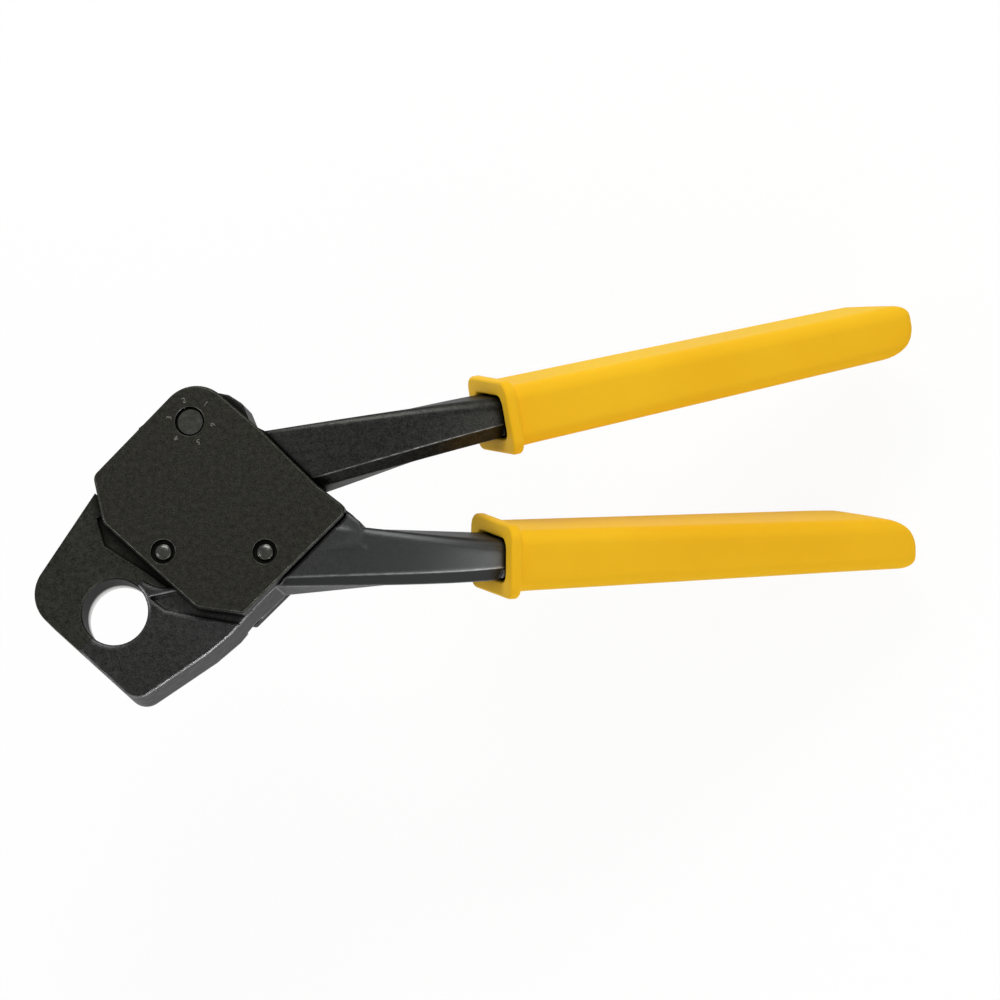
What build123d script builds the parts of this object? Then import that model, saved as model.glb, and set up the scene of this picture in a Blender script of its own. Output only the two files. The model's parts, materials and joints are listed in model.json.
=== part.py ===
from build123d import *
from math import atan2, cos, degrees, pi, radians, sin, sqrt
import os

# Crimp ring hand tool. Millimetres, +Z up.
# The origin is the middle of the crimping die, Z runs along the pipe that it crimps, X points from the
# jaws to the handles, and the tool is drawn closed.

# Die and jaws
die_radius = 8.95
die_lead_in = 0.45
jaw_thickness = 13.0
parting_angle = 49.0
parting_gap = 0.06
jaw_pin_reach = 20.5
jaw_hub_radius = 9.0
hub_seat_clearance = 0.3
parting_notch = 0.9
parting_notch_reach = 14.1
face_relief_depth = 1.0

# Toothed drive between the upper handle and the moving jaw
tooth_module = 2.57
handle_teeth = 10
jaw_teeth = 18
pressure_angle = 25.0
tooth_addendum = 0.8
tooth_dedendum = 1.0
tooth_backlash = 0.2
drive_line_angle = 78.8
handle_swing = 58.0
sector_teeth = 3
pocket_clearance = 0.6
pocket_margin = 1.5

# Side plates
plate_thickness = 3.4
running_gap = 0.1
plate_edge_chamfer = 0.45
shoulder_gap = 0.4

# Pins, rivets and the eccentric adjuster
pin_shank_radius = 4.0
pin_tenon_radius = 2.3
pin_sink = 0.3
pin_end_chamfer = 0.3
counterbore_radius = 3.35
counterbore_depth = 1.1
rivet_pitch = 27.7
running_clearance = 0.05
dowel_radius = 2.0
dowel_bite = 2.0
dowel_offset = (11.0, 6.6)
adjuster_radius = 5.5
adjuster_tenon_radius = 3.45
adjuster_throw = 0.4
adjuster_sink = 0.9
adjuster_counterbore = (4.0, 1.4)
stud_radius = 3.0
stud_length = 5.6
washer_radius = 6.2
washer_thickness = 1.2
nut_across_flats = 10.0
nut_thickness = 3.2
nut_crown = (0.35, 0.9)

# Upper handle round the adjuster
handle_hub_radius = 9.6
arm_thickness = 17.0

# Course of the two arms: each leaves the head flat, then drops and rolls towards the grip
arm_roll = 22.0
upper_start = (40.3, 39.0)
upper_start_heading = 13.0
upper_mouth = (97.3, 55.2, -13.25)
upper_mouth_heading = 18.0
upper_drop = 26.0
lower_start = (42.0, 15.2)
lower_start_heading = 0.0
lower_mouth = (98.3, 16.85, -12.0)
lower_mouth_heading = 8.5
lower_drop = 31.0
arm_start_height = 18.3
arm_mouth_height = 11.0
arm_mouth_depth = 20.4
arm_taper = 1.1
start_corner = 0.8
mouth_corner = 3.4
corner_flats = 4
start_bevel = (2.0, 2.2)
mouth_bevel = (3.9, 4.0)

# Tangs and moulded grips
tang_length = 92.0
tang_root = (9.6, 18.6)
tang_tip = (7.4, 17.0)
tang_corner = 1.5
tang_clearance = 0.1
grip_length = 117.5
grip_root = (16.6, 27.0)
grip_tip = (13.4, 25.6)
grip_corner = 3.8
grip_inner_round = 8.5
grip_outer_round = 2.8
grip_end_slant = 9.5
flange_size = (20.0, 31.0)
flange_corner = 4.0
flange_thickness = 3.0
flange_chamfer = 0.7
grip_mouth_gap = 0.45
grip_mouth_corner = 3.0
grip_mouth_depth = 7.0
arm_reach = 5.0

# Places worked out from the sizes above
plate_gap = jaw_thickness + 2 * running_gap
head_half = plate_gap / 2 + plate_thickness
parting_direction = (cos(radians(parting_angle)), sin(radians(parting_angle)))
jaw_pin = (jaw_pin_reach * parting_direction[0], jaw_pin_reach * parting_direction[1])
lever_rivet = (jaw_pin[0] + rivet_pitch, jaw_pin[1] - 0.5)
dowel = (lever_rivet[0] + dowel_offset[0], lever_rivet[1] + dowel_offset[1])
handle_pitch_radius = tooth_module * handle_teeth / 2
jaw_pitch_radius = tooth_module * jaw_teeth / 2
centre_distance = handle_pitch_radius + jaw_pitch_radius
handle_pin = (
    jaw_pin[0] + centre_distance * cos(radians(drive_line_angle)),
    jaw_pin[1] + centre_distance * sin(radians(drive_line_angle)),
)
jaw_swing = handle_swing * handle_teeth / jaw_teeth
handle_pitch_angle = 360 / handle_teeth
jaw_pitch_angle = 360 / jaw_teeth
first_jaw_tooth = drive_line_angle - jaw_pitch_angle / 2
first_handle_tooth = drive_line_angle + 180 - 2 * handle_pitch_angle
pocket_start = first_jaw_tooth - jaw_pitch_angle / 2 - jaw_swing - pocket_margin
jaw_tip_radius = jaw_pitch_radius + tooth_addendum * tooth_module
jaw_root_radius = jaw_pitch_radius - tooth_dedendum * tooth_module
handle_root_radius = handle_pitch_radius - tooth_dedendum * tooth_module


def rounded_outline(corners):
    """A closed face through corners (x, y, radius), each corner rounded by its own radius."""
    points = [(x, y) for x, y, radius in corners]
    radii = [radius for x, y, radius in corners]
    return make_face(FilletPolyline(*points, radius=radii, close=True))


def slab(face, thickness):
    """A face drawn at the middle of the tool, thickened evenly to both sides."""
    return extrude(face, thickness / 2, both=True)


def polar(centre, radius, angle):
    """The point at a distance and an angle from a centre."""
    return (centre[0] + radius * cos(radians(angle)), centre[1] + radius * sin(radians(angle)))


def pie(centre, radius, start, end):
    """A slice of a disc, from one angle round to another."""
    middle = (start + end) / 2
    edges = [
        Line(centre, polar(centre, radius, start)),
        ThreePointArc(
            polar(centre, radius, start), polar(centre, radius, middle), polar(centre, radius, end)
        ),
        Line(polar(centre, radius, end), centre),
    ]
    return make_face(Wire(edges))


def disc(centre, radius):
    return Pos(centre[0], centre[1]) * Circle(radius)


def pin_hole(centre, radius, length):
    return Pos(centre[0], centre[1]) * Cylinder(radius, length)


# Involute teeth


def tooth_face(teeth, root_radius, angle):
    """One tooth of a spur gear about the origin, its middle at the given angle.

    Each flank is the curve that the end of a thread draws as it unwinds from the base circle: at a roll
    angle t it lies at base * sqrt(1 + t * t) from the centre, turned by t less its arc tangent.
    """
    pitch = tooth_module * teeth / 2
    base = pitch * cos(radians(pressure_angle))
    tip = pitch + tooth_addendum * tooth_module
    half_tooth = (pi * tooth_module / 2 - tooth_backlash) / 2 / pitch
    pitch_roll = sqrt((pitch / base) ** 2 - 1)
    half_base = half_tooth + pitch_roll - atan2(pitch_roll, 1)
    start_roll = sqrt(max((root_radius / base) ** 2 - 1, 0))
    tip_roll = sqrt((tip / base) ** 2 - 1)
    steps = 5
    rolls = [start_roll + (tip_roll - start_roll) * i / steps for i in range(steps + 1)]

    def flank(side):
        points = []
        for roll in rolls:
            turn = half_base - (roll - atan2(roll, 1))
            points.append(polar((0, 0), base * sqrt(1 + roll * roll), angle + side * degrees(turn)))
        return points

    left = flank(1)
    right = flank(-1)
    foot = root_radius - 0.4 * tooth_module
    left_foot = polar((0, 0), foot, degrees(atan2(left[0][1], left[0][0])))
    right_foot = polar((0, 0), foot, degrees(atan2(right[0][1], right[0][0])))
    edges = [
        Line(left_foot, left[0]),
        Spline(*left),
        ThreePointArc(left[-1], polar((0, 0), tip, angle), right[-1]),
        Spline(*reversed(right)),
        Line(right[0], right_foot),
        Line(right_foot, left_foot),
    ]
    return make_face(Wire(edges))


def toothed_sector(centre, teeth, root_radius, first_angle):
    """A sector of a spur gear, its teeth one pitch apart from the first angle on."""
    pitch_angle = 360 / teeth
    start = first_angle - pitch_angle / 2
    end = first_angle + (sector_teeth - 0.5) * pitch_angle
    sector = slab(pie(centre, root_radius, start, end), jaw_thickness)
    for index in range(sector_teeth):
        tooth = tooth_face(teeth, root_radius, first_angle + index * pitch_angle)
        sector += slab(Pos(centre[0], centre[1]) * tooth, jaw_thickness)
    return sector


# Outlines seen along the pins

plate_outline = rounded_outline(
    [
        (handle_pin[0] + 0.5, handle_pin[1] + 13.4, 9.9),
        (jaw_pin[0] - 19.4, jaw_pin[1] + 20.9, 2.6),
        (jaw_pin[0] - 16.5, jaw_pin[1] + 8.2, 4.0),
        (jaw_pin[0] + 9.4, jaw_pin[1] - 15.4, 3.0),
        (jaw_pin[0] + 22.2, jaw_pin[1] - 17.3, 1.0),
        (lever_rivet[0] + 22.7, lever_rivet[1] + 11.0, 2.6),
        (lever_rivet[0] + 13.8, lever_rivet[1] + 17.9, 5.0),
        (handle_pin[0] + 19.6, handle_pin[1] - 3.2, 3.0),
    ]
)

nose_corner = (-24.9, 3.6, 10.0)
lower_edge = [(6.2, -24.7, 5.0), (25.6, -11.8, 6.0), (32.0, -6.4, 4.0)]
nose_outline = rounded_outline(
    [
        nose_corner,
        *lower_edge,
        (jaw_pin[0], jaw_pin[1], 0.5),
        (jaw_pin[0] - 10.5, jaw_pin[1] + 15.6, 1.0),
        (jaw_pin[0] - 18.5, jaw_pin[1] + 18.2, 2.4),
    ]
)

# Shallow steps in the jaws' faces beside the plates: one on the moving jaw, one on the fixed jaw
moving_relief = rounded_outline(
    [
        (jaw_pin[0] - 19.0, jaw_pin[1] + 10.5, 0.5),
        (jaw_pin[0] - 16.6, jaw_pin[1] + 2.4, 1.5),
        (jaw_pin[0] - 4.7, jaw_pin[1] - 5.2, 3.0),
        (jaw_pin[0] + 4.3, jaw_pin[1] - 11.8, 0.5),
        (jaw_pin[0] + 8.5, jaw_pin[1] - 10.5, 0.5),
        (jaw_pin[0] - 12.5, jaw_pin[1] + 10.5, 0.5),
    ]
)
fixed_relief = rounded_outline(
    [
        (jaw_pin[0] - 4.4, jaw_pin[1] - 11.6, 0.3),
        (jaw_pin[0] + 0.4, jaw_pin[1] - 15.3, 2.5),
        (jaw_pin[0] + 9.0, jaw_pin[1] - 17.2, 4.0),
        (jaw_pin[0] + 24.0, jaw_pin[1] - 20.2, 0.3),
        (jaw_pin[0] + 24.0, jaw_pin[1] - 13.5, 0.3),
        (jaw_pin[0] + 6.0, jaw_pin[1] - 9.5, 0.3),
    ]
)


def parting_side(upper, reach):
    """A block on one side of the parting plane, from far outside the nose up to a reach from the die."""
    size = 200
    shift = size / 2 if upper else -size / 2
    block = Pos(reach - size / 2, shift, 0) * Box(size, size, size)
    return Rot(0, 0, parting_angle) * block


def die_cutter():
    """The round die with its lead-in at both mouths."""
    mouth = die_radius + die_lead_in
    cutter = Cylinder(die_radius, plate_gap + 2)
    for side in (1, -1):
        cone = Cone(mouth, die_radius, die_lead_in)
        if side > 0:
            cone = Cone(die_radius, mouth, die_lead_in)
        cutter += Pos(0, 0, side * (jaw_thickness - die_lead_in) / 2) * cone
        cutter += Pos(0, 0, side * (jaw_thickness + 1) / 2) * Cylinder(mouth, 1)
    return cutter


def notch_cutter():
    """The small V at the outer end of the parting line."""
    outer_end = polar((0, 0), -parting_notch_reach, parting_angle)
    bar = Box(parting_notch, parting_notch, plate_gap + 2)
    return Pos(outer_end[0], outer_end[1]) * Rot(0, 0, parting_angle + 45) * bar


def face_cutter(outline, half):
    """Both faces' shallow step inside an outline, on a piece of the given half thickness."""
    floor = half - face_relief_depth
    above = Pos(0, 0, floor) * extrude(outline, 2 * face_relief_depth)
    below = Pos(0, 0, -floor - 2 * face_relief_depth) * extrude(outline, 2 * face_relief_depth)
    return above + below


# Moving jaw


def moving_jaw():
    """The jaw half of the die, its hub on the jaw pin and the toothed tail that the handle drives."""
    jaw = slab(nose_outline, jaw_thickness) & parting_side(True, jaw_pin_reach)
    jaw = Rot(0, 0, parting_angle) * Pos(0, parting_gap, 0) * Rot(0, 0, -parting_angle) * jaw
    jaw = jaw + slab(disc(jaw_pin, jaw_hub_radius), jaw_thickness)
    jaw = jaw + toothed_sector(jaw_pin, jaw_teeth, jaw_root_radius, first_jaw_tooth)
    jaw = jaw - die_cutter() - notch_cutter() - face_cutter(moving_relief, jaw_thickness / 2)
    return jaw - pin_hole(jaw_pin, pin_shank_radius + running_clearance, plate_gap)


# Arms


def section_plane(origin, axis, roll):
    """A plane across an arm: X up the arm's height, Y through its depth, Z along the arm."""
    level = Vector(0, 0, 1).cross(axis).normalized()
    normal = axis.cross(level)
    up = level * cos(radians(roll)) + normal * sin(radians(roll))
    return Plane(origin=origin, x_dir=up, z_dir=axis)


def heading_vector(heading, drop):
    flat = cos(radians(drop))
    return Vector(flat * cos(radians(heading)), flat * sin(radians(heading)), -sin(radians(drop)))


def arm_section(height, depth, corner, bevel):
    """An arm's cross-section: rounded in a few flats at the top, and cut back to a ridge below."""
    top = height / 2
    side = depth / 2
    angles = [90 * index / corner_flats for index in range(corner_flats + 1)]
    front = [polar((top - corner, side - corner), corner, angle) for angle in angles]
    front += [(bevel[0] - top, side), (-top, side - bevel[1])]
    back = [(x, -y) for x, y in reversed(front)]
    return make_face(Polyline(*front, *back, close=True))


def between(start, end, share):
    return start + (end - start) * share


def mouth_plane(mouth, heading, drop):
    return section_plane(Vector(*mouth), heading_vector(heading, drop), arm_roll)


def arm_loft(start, start_heading, mouth, mouth_heading, drop):
    """The forged arm from the head to the grip's mouth, dropping and rolling as it narrows."""
    first = Vector(start[0], start[1], 0)
    last = Vector(*mouth)
    course = Spline(
        first, last, tangents=[heading_vector(start_heading, 0), heading_vector(mouth_heading, drop)]
    )
    sections = []
    steps = 4
    for index in range(steps + 1):
        share = index / steps
        plane = section_plane(course @ share, course % share, arm_roll * share)
        height = between(arm_start_height, arm_mouth_height, share**arm_taper)
        depth = between(arm_thickness, arm_mouth_depth, share)
        corner = between(start_corner, mouth_corner, share)
        bevel = [between(near, far, share) for near, far in zip(start_bevel, mouth_bevel)]
        sections.append(plane * arm_section(height, depth, corner, bevel))
    return loft(sections) + extrude(sections[-1], arm_reach)


def tapered_bar(root, tip, length, corner):
    """A bar of four flat sides that stands on its root and narrows evenly, its long edges rounded."""
    outlines = []
    for near, far in zip(root, tip):
        outlines.append(
            make_face(
                Polyline((-near / 2, 0), (near / 2, 0), (far / 2, length), (-far / 2, length), close=True)
            )
        )
    bar = extrude(Plane.XZ * outlines[0], root[1], both=True)
    bar = bar & extrude(Plane.YZ * outlines[1], root[0], both=True)
    long_edges = [edge for edge in bar.edges() if abs(edge.tangent_at(0).Z) > cos(pi / 4)]
    return fillet(long_edges, corner)


def tang(grow):
    """The straight tapered end of an arm inside its grip, or the grip's pocket when grown by a clearance."""
    root = (tang_root[0] + 2 * grow, tang_root[1] + 2 * grow)
    tip = (tang_tip[0] + 2 * grow, tang_tip[1] + 2 * grow)
    return tapered_bar(root, tip, tang_length + grow, tang_corner)


def plate_clearance(half):
    """What an arm's thick root must leave free round the two side plates, from a half thickness out."""
    outline = offset(plate_outline, shoulder_gap)
    rise = arm_thickness
    above = Pos(0, 0, half) * extrude(outline, rise)
    below = Pos(0, 0, -half - rise) * extrude(outline, rise)
    return above + below


# Lower lever: fixed jaw, neck and handle in one forging


def lower_lever():
    plate_foot = (jaw_pin[0] + 22.2, jaw_pin[1] - 17.3)
    web = rounded_outline(
        [
            *lower_edge,
            (plate_foot[0], plate_foot[1], 1.5),
            (lever_rivet[0] + 3.0, lever_rivet[1] - 8.4, 1.0),
            (lever_rivet[0] + 9.0, lever_rivet[1] - 7.0, 0.5),
            (lever_rivet[0] + 23.0, lever_rivet[1] + 7.5, 0.5),
            (lever_rivet[0] + 16.4, lever_rivet[1] + 13.3, 3.0),
            (jaw_pin[0] + 22.2, jaw_pin[1] + 13.1, 1.0),
            (jaw_pin[0], jaw_pin[1], 0.5),
            (-9.2, -10.7, 0.5),
        ]
    )
    shoulder = rounded_outline(
        [
            (lever_rivet[0] + 12.0, lever_rivet[1], 0.2),
            (lever_rivet[0] + 27.0, lever_rivet[1] + 1.0, 0.2),
            (lever_rivet[0] + 26.0, lever_rivet[1] + 7.6, 3.0),
            (lever_rivet[0] + 22.0, lever_rivet[1] + 10.6, 1.5),
            (lever_rivet[0] + 14.0, lever_rivet[1] + 13.0, 1.0),
        ]
    )
    lever = slab(web, plate_gap) + (slab(nose_outline, plate_gap) & parting_side(False, jaw_pin_reach))
    lever = lever - parting_side(True, jaw_pin_reach)
    pocket = pie(jaw_pin, jaw_tip_radius + pocket_clearance, pocket_start, parting_angle + 180)
    lever = lever - slab(pocket, plate_gap + 2)
    lever = lever - slab(disc(jaw_pin, jaw_hub_radius + hub_seat_clearance), plate_gap + 2)
    lever = lever - die_cutter() - notch_cutter() - face_cutter(fixed_relief, plate_gap / 2)
    arm = arm_loft(lower_start, lower_start_heading, lower_mouth, lower_mouth_heading, lower_drop)
    arm = arm + slab(shoulder, arm_thickness)
    lever = lever + (arm - plate_clearance(plate_gap / 2))
    lever = lever + mouth_plane(lower_mouth, lower_mouth_heading, lower_drop).location * tang(0)
    lever = lever - pin_hole(lever_rivet, pin_shank_radius, 2 * plate_gap)
    return lever - pin_hole(dowel, dowel_radius, 2 * plate_gap)


# Upper handle


def upper_handle():
    web = rounded_outline(
        [
            (handle_pin[0], handle_pin[1] + handle_hub_radius, 0.5),
            (handle_pin[0] + 9.5, handle_pin[1] + 7.6, 1.0),
            (handle_pin[0] + 13.2, handle_pin[1] + 5.2, 1.5),
            (handle_pin[0] + 15.6, handle_pin[1] - 0.4, 5.0),
            (handle_pin[0] + 20.0, handle_pin[1] - 2.6, 3.0),
            (handle_pin[0] + 33.6, handle_pin[1] - 1.1, 0.5),
            (handle_pin[0] + 33.6, handle_pin[1] - 15.1, 0.5),
            (handle_pin[0] + 7.0, handle_pin[1] - 6.0, 1.0),
            (handle_pin[0], handle_pin[1] - 4.0, 0.5),
        ]
    )
    handle = slab(disc(handle_pin, handle_hub_radius) + web, jaw_thickness)
    handle = handle + toothed_sector(handle_pin, handle_teeth, handle_root_radius, first_handle_tooth)
    arm = arm_loft(upper_start, upper_start_heading, upper_mouth, upper_mouth_heading, upper_drop)
    handle = handle + (arm - plate_clearance(jaw_thickness / 2))
    handle = handle + mouth_plane(upper_mouth, upper_mouth_heading, upper_drop).location * tang(0)
    return handle - pin_hole(handle_pin, adjuster_radius + running_clearance, plate_gap)


# Side plates


def adjuster_axis():
    return (handle_pin[0] - adjuster_throw, handle_pin[1])


def side_plate():
    """One side plate as it lies on the front of the tool."""
    plate = extrude(plate_outline, plate_thickness)
    plate = chamfer(plate.faces().sort_by(Axis.Z)[-1].outer_wire().edges(), plate_edge_chamfer)
    for centre in (jaw_pin, lever_rivet):
        plate = plate - pin_hole(centre, pin_tenon_radius, 4 * plate_thickness)
        sink = Cylinder(counterbore_radius, counterbore_depth)
        plate = plate - Pos(centre[0], centre[1], plate_thickness - counterbore_depth / 2) * sink
    plate = plate - Pos(dowel[0], dowel[1], dowel_bite / 2) * Cylinder(dowel_radius, dowel_bite)
    axis = adjuster_axis()
    plate = plate - pin_hole(axis, adjuster_tenon_radius, 4 * plate_thickness)
    radius, depth = adjuster_counterbore
    return plate - Pos(axis[0], axis[1], plate_thickness - depth / 2) * Cylinder(radius, depth)


def front_plate():
    return Pos(0, 0, plate_gap / 2) * side_plate()


def back_plate():
    return Pos(0, 0, -plate_gap / 2) * mirror(side_plate(), Plane.XY)


# Pins


def shouldered_pin(centre):
    """A pin with a thick shank between the plates and a thin tenon, headed into each plate."""
    shank = Cylinder(pin_shank_radius, plate_gap)
    tenon = Cylinder(pin_tenon_radius, 2 * (head_half - pin_sink))
    pin = shank + tenon
    ends = [edge for edge in pin.edges().filter_by(GeomType.CIRCLE) if abs(edge.center().Z) > head_half - 1]
    pin = chamfer(ends, pin_end_chamfer)
    return Pos(centre[0], centre[1]) * pin


def locating_dowel():
    length = plate_gap + 2 * dowel_bite
    return Pos(dowel[0], dowel[1]) * Cylinder(dowel_radius, length)


def adjuster_pin():
    """The eccentric pin: its journal carries the handle, its ends sit off centre in the plates."""
    axis = adjuster_axis()
    journal = pin_hole(handle_pin, adjuster_radius, plate_gap)
    front_length = plate_thickness - adjuster_sink
    front = Pos(axis[0], axis[1], (plate_gap + front_length) / 2) * Cylinder(
        adjuster_tenon_radius, front_length
    )
    back = Pos(axis[0], axis[1], -(plate_gap + plate_thickness) / 2) * Cylinder(
        adjuster_tenon_radius, plate_thickness
    )
    stud = Pos(axis[0], axis[1], -head_half - stud_length / 2) * Cylinder(stud_radius, stud_length)
    return journal + front + back + stud


def adjuster_washer():
    axis = adjuster_axis()
    ring = Cylinder(washer_radius, washer_thickness) - Cylinder(stud_radius, 2 * washer_thickness)
    return Pos(axis[0], axis[1], -head_half - washer_thickness / 2) * ring


def adjuster_nut():
    axis = adjuster_axis()
    nut = extrude(RegularPolygon(nut_across_flats / 2, 6, major_radius=False), nut_thickness / 2, both=True)
    corner = nut_across_flats / 2 / cos(pi / 6)
    crown = Cone(corner + nut_crown[1], corner - nut_crown[0], nut_thickness)
    dome = Rot(180, 0, 0) * crown
    nut = (nut & dome) - Cylinder(stud_radius, 2 * nut_thickness)
    return Pos(axis[0], axis[1], -head_half - washer_thickness - nut_thickness / 2) * nut


# Grips


def grip_end_cutter(inner_side):
    """What shapes a grip's slanted far end: all that lies beyond it, and a round on each side of it."""
    across = 2 * grip_root[1]
    cutter = Pos(0, 0, across / 2) * Box(across, across, across)
    for side, radius in ((inner_side, grip_inner_round), (-inner_side, grip_outer_round)):
        middle = side * (grip_tip[0] / 2 - radius)
        block = Pos(middle + side * radius, 0, 0) * Box(2 * radius, across, 2 * radius)
        cutter += block - Pos(middle, 0, -radius) * Rot(90, 0, 0) * Cylinder(radius, across)
    slant = degrees(atan2(grip_end_slant, grip_tip[1]))
    return Pos(0, 0, grip_length - grip_end_slant / 2) * Rot(slant, 0, 0) * cutter


def grip(mouth, heading, drop, inner_side):
    """A tapered moulded grip with a guard flange at its mouth and a pocket for the arm's tang."""
    body = tapered_bar(grip_root, grip_tip, grip_length, grip_corner) - grip_end_cutter(inner_side)
    flange = extrude(RectangleRounded(flange_size[0], flange_size[1], flange_corner), flange_thickness)
    flange = chamfer(flange.edges().group_by(Axis.Z)[0] + flange.edges().group_by(Axis.Z)[-1], flange_chamfer)
    mouth_size = (arm_mouth_height + 2 * grip_mouth_gap, arm_mouth_depth + 2 * grip_mouth_gap)
    mouth_face = RectangleRounded(mouth_size[0], mouth_size[1], grip_mouth_corner)
    cavity = extrude(Pos(0, 0, -1) * mouth_face, grip_mouth_depth + 1)
    sleeve = body + flange - cavity - tang(tang_clearance)
    return mouth_plane(mouth, heading, drop).location * sleeve


parts = {
    "lower_lever": lower_lever(),
    "moving_jaw": moving_jaw(),
    "upper_handle": upper_handle(),
    "front_plate": front_plate(),
    "back_plate": back_plate(),
    "jaw_pin": shouldered_pin(jaw_pin),
    "lever_rivet": shouldered_pin(lever_rivet),
    "locating_dowel": locating_dowel(),
    "adjuster_pin": adjuster_pin(),
    "adjuster_washer": adjuster_washer(),
    "adjuster_nut": adjuster_nut(),
    "upper_grip": grip(upper_mouth, upper_mouth_heading, upper_drop, -1),
    "lower_grip": grip(lower_mouth, lower_mouth_heading, lower_drop, 1),
}

os.makedirs("parts", exist_ok=True)
for name, shape in parts.items():
    export_step(shape, f"parts/{name}.step")
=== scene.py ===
# %% [markdown]
# A crimp ring hand tool, dressed for its photograph.
# The tool's solids come in as a fixed frame: two forged levers, a moving jaw, two side plates, pins, an
# eccentric adjuster and two grips. Here every surface gets its finish, and the two soft grips get a
# moulded skin of their own. The solids are never moved.

# %% Load the solids
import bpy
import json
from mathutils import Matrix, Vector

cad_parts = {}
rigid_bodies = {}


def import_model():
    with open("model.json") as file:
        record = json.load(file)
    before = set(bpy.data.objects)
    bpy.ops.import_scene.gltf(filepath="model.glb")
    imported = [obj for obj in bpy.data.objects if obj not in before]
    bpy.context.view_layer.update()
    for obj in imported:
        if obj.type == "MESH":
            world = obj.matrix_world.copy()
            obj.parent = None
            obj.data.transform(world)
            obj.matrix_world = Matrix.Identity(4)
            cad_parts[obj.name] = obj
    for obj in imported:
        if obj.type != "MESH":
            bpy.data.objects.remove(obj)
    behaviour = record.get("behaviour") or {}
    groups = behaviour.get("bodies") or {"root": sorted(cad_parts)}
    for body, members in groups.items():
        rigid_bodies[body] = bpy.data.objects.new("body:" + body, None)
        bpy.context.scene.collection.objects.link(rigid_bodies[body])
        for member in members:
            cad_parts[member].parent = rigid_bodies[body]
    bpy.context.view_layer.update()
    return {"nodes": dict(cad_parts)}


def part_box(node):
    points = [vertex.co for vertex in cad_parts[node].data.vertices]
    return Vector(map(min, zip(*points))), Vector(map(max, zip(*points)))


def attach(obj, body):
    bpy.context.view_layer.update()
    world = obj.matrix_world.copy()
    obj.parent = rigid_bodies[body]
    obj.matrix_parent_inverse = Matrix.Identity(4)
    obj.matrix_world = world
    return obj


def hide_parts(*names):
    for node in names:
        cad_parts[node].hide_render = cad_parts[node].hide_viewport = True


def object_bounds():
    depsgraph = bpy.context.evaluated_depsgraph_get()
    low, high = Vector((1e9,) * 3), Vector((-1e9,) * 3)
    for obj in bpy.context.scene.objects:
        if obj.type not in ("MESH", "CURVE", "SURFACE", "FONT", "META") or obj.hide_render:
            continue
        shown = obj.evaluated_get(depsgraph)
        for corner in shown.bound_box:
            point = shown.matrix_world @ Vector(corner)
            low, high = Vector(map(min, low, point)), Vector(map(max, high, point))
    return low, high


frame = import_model()

import json
from math import cos, pi, radians, sin, sqrt

import bpy
import numpy as np
from mathutils import Matrix, Vector

mm = 0.001
nodes = frame["nodes"]
print("solids:", ", ".join(sorted(nodes)))

# %% [markdown]
# The photograph looks at the head a little from below and from the right, from so far away that the
# grips look no smaller than the head does. A camera without perspective shows that. Its three axes are
# the head's own axes, tipped by the smallest turn that brings the head's face to the tilt it is seen at.

# %% Camera axes
head_tilt = (-0.19, 0.19)


def smallest_turn(across, up):
    """The rotation that takes +Z to (across, up, rest) by the shortest way: I + K + K K / (1 + cosine),
    where K is the cross-product matrix of the turn's axis."""
    toward = sqrt(1 - across * across - up * up)
    k = np.array([[0, 0, across], [0, 0, up], [-across, -up, 0]])
    return np.eye(3) + k + k @ k / (1 + toward)


right, upward, toward = (Vector(row) for row in smallest_turn(*head_tilt))
print("towards the camera:", [round(part, 3) for part in toward])

# %% Camera
pixels_per_mm = 3.75
picture_width = 1000
picture_centre = (101.5, 31.1)
camera_distance = 0.9
camera = bpy.data.objects.new("camera", bpy.data.cameras.new("camera"))
bpy.context.scene.collection.objects.link(camera)
camera.data.type = "ORTHO"
camera.data.ortho_scale = picture_width / pixels_per_mm * mm
camera.data.clip_end = 10
spot = (right * picture_centre[0] + upward * picture_centre[1]) * mm + toward * camera_distance
turn = Matrix((right, upward, toward)).transposed()
camera.matrix_world = Matrix.Translation(spot) @ turn.to_4x4()
bpy.context.scene.camera = camera
bpy.context.scene.view_settings.view_transform = "Standard"
print("camera at", [round(part, 3) for part in spot])

# %% [markdown]
# The studio is a white table under a plain pale sky. Black steel shows what stands round it more than any
# colour of its own, so the table is white to the camera and to reflections, while the light that it
# throws stays that of a plain matt board. The tool's shadow stays on it, because a small share of the
# board shows through the white.

# %% Sky
sky_level = 0.45
world = bpy.data.worlds.new("pale sky")
world.use_nodes = True
bpy.context.scene.world = world
sky = world.node_tree.nodes["Background"]
sky.inputs["Color"].default_value = (1, 1, 1, 1)
sky.inputs["Strength"].default_value = sky_level
print("sky level", sky_level)

# %% White to the eye
table_white = 0.93


def see_white(tree, shader, share):
    """Mixes in a white glow of strength 1 for camera, glossy and transmission rays."""
    path = tree.nodes.new("ShaderNodeLightPath")
    seen = path.outputs["Is Camera Ray"]
    for kind in ("Is Glossy Ray", "Is Transmission Ray"):
        either = tree.nodes.new("ShaderNodeMath")
        either.operation = "MAXIMUM"
        tree.links.new(seen, either.inputs[0])
        tree.links.new(path.outputs[kind], either.inputs[1])
        seen = either.outputs[0]
    amount = tree.nodes.new("ShaderNodeMath")
    amount.operation = "MULTIPLY"
    amount.inputs[1].default_value = share
    tree.links.new(seen, amount.inputs[0])
    glow = tree.nodes.new("ShaderNodeEmission")
    glow.inputs["Strength"].default_value = 1.0
    mix = tree.nodes.new("ShaderNodeMixShader")
    tree.links.new(amount.outputs[0], mix.inputs[0])
    tree.links.new(shader, mix.inputs[1])
    tree.links.new(glow.outputs[0], mix.inputs[2])
    return mix.outputs[0]


print("share of white seen:", table_white)

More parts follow.
